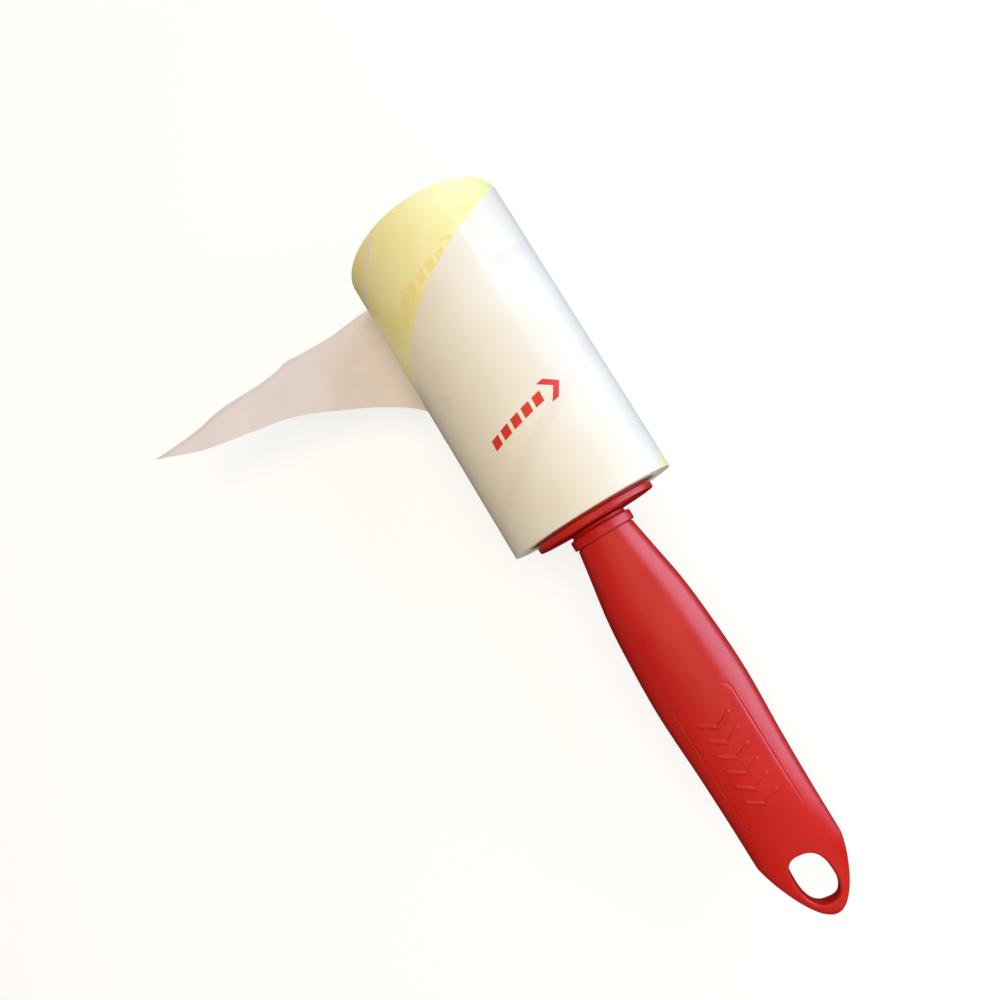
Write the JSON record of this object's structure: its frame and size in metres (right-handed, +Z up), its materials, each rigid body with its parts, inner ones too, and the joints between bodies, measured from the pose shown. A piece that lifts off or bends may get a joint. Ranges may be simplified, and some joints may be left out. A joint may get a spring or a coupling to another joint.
{
  "type": "lint roller",
  "caption": "Sticky-paper lint roller: a spiral-cut paper refill with its outer corner peeled, on a flanged spool that spins on a tapered handle with a hanging slot.",
  "frame": {"origin": "on the spin axis, at the middle of the spool end cap's flat outer face, level with the roll's far end", "axes": "+X along the spin axis from the roll's far end to the hanging slot; +Z up, out of the handle's front face; +Y to the side away from the peeled corner. The roller lies on the roll, whose lowest line is at z = -0.027."},
  "size_m": [0.2354, 0.149, 0.054],
  "materials": {
    "handle": "fine satin, moulded",
    "stem": "satin, moulded",
    "spool": "satin, moulded",
    "core": "raw board",
    "winding": "cut edges of wound sheets",
    "next_sheet": "adhesive coated, soft gloss",
    "outer_sheet": "adhesive coated, soft gloss",
    "flap": "matt back of the sheet"
  },
  "bodies": {
    "handle": {"handle_front_shell": "handle", "handle_back_shell": "handle", "axle_stem": "stem"},
    "spool": {"spool_hub": "spool", "spool_end_cap": "spool"},
    "refill": {"core_tube": "core", "paper_winding": "winding", "next_sheet": "next_sheet", "outer_sheet": "outer_sheet"},
    "flap": {"peeled_flap": "flap"}
  },
  "joints": [
    {"name": "spool_spin", "type": "hinge", "parent": "handle", "child": "spool", "pos_m": [0.05, 0, 0], "axis": [1, 0, 0], "continuous": true},
    {"name": "refill_slide", "type": "slide", "parent": "spool", "child": "refill", "axis": [-1, 0, 0], "range_m": [0, 0.105]},
    {"name": "flap_peel", "type": "hinge", "parent": "refill", "child": "flap", "pos_m": [0.025, -0.02209, -0.01531], "axis": [1, 0, 0], "range_deg": [-28, 35], "stiffness_Nm_per_rad": 0.004, "springref_deg": -2.58}
  ]
}
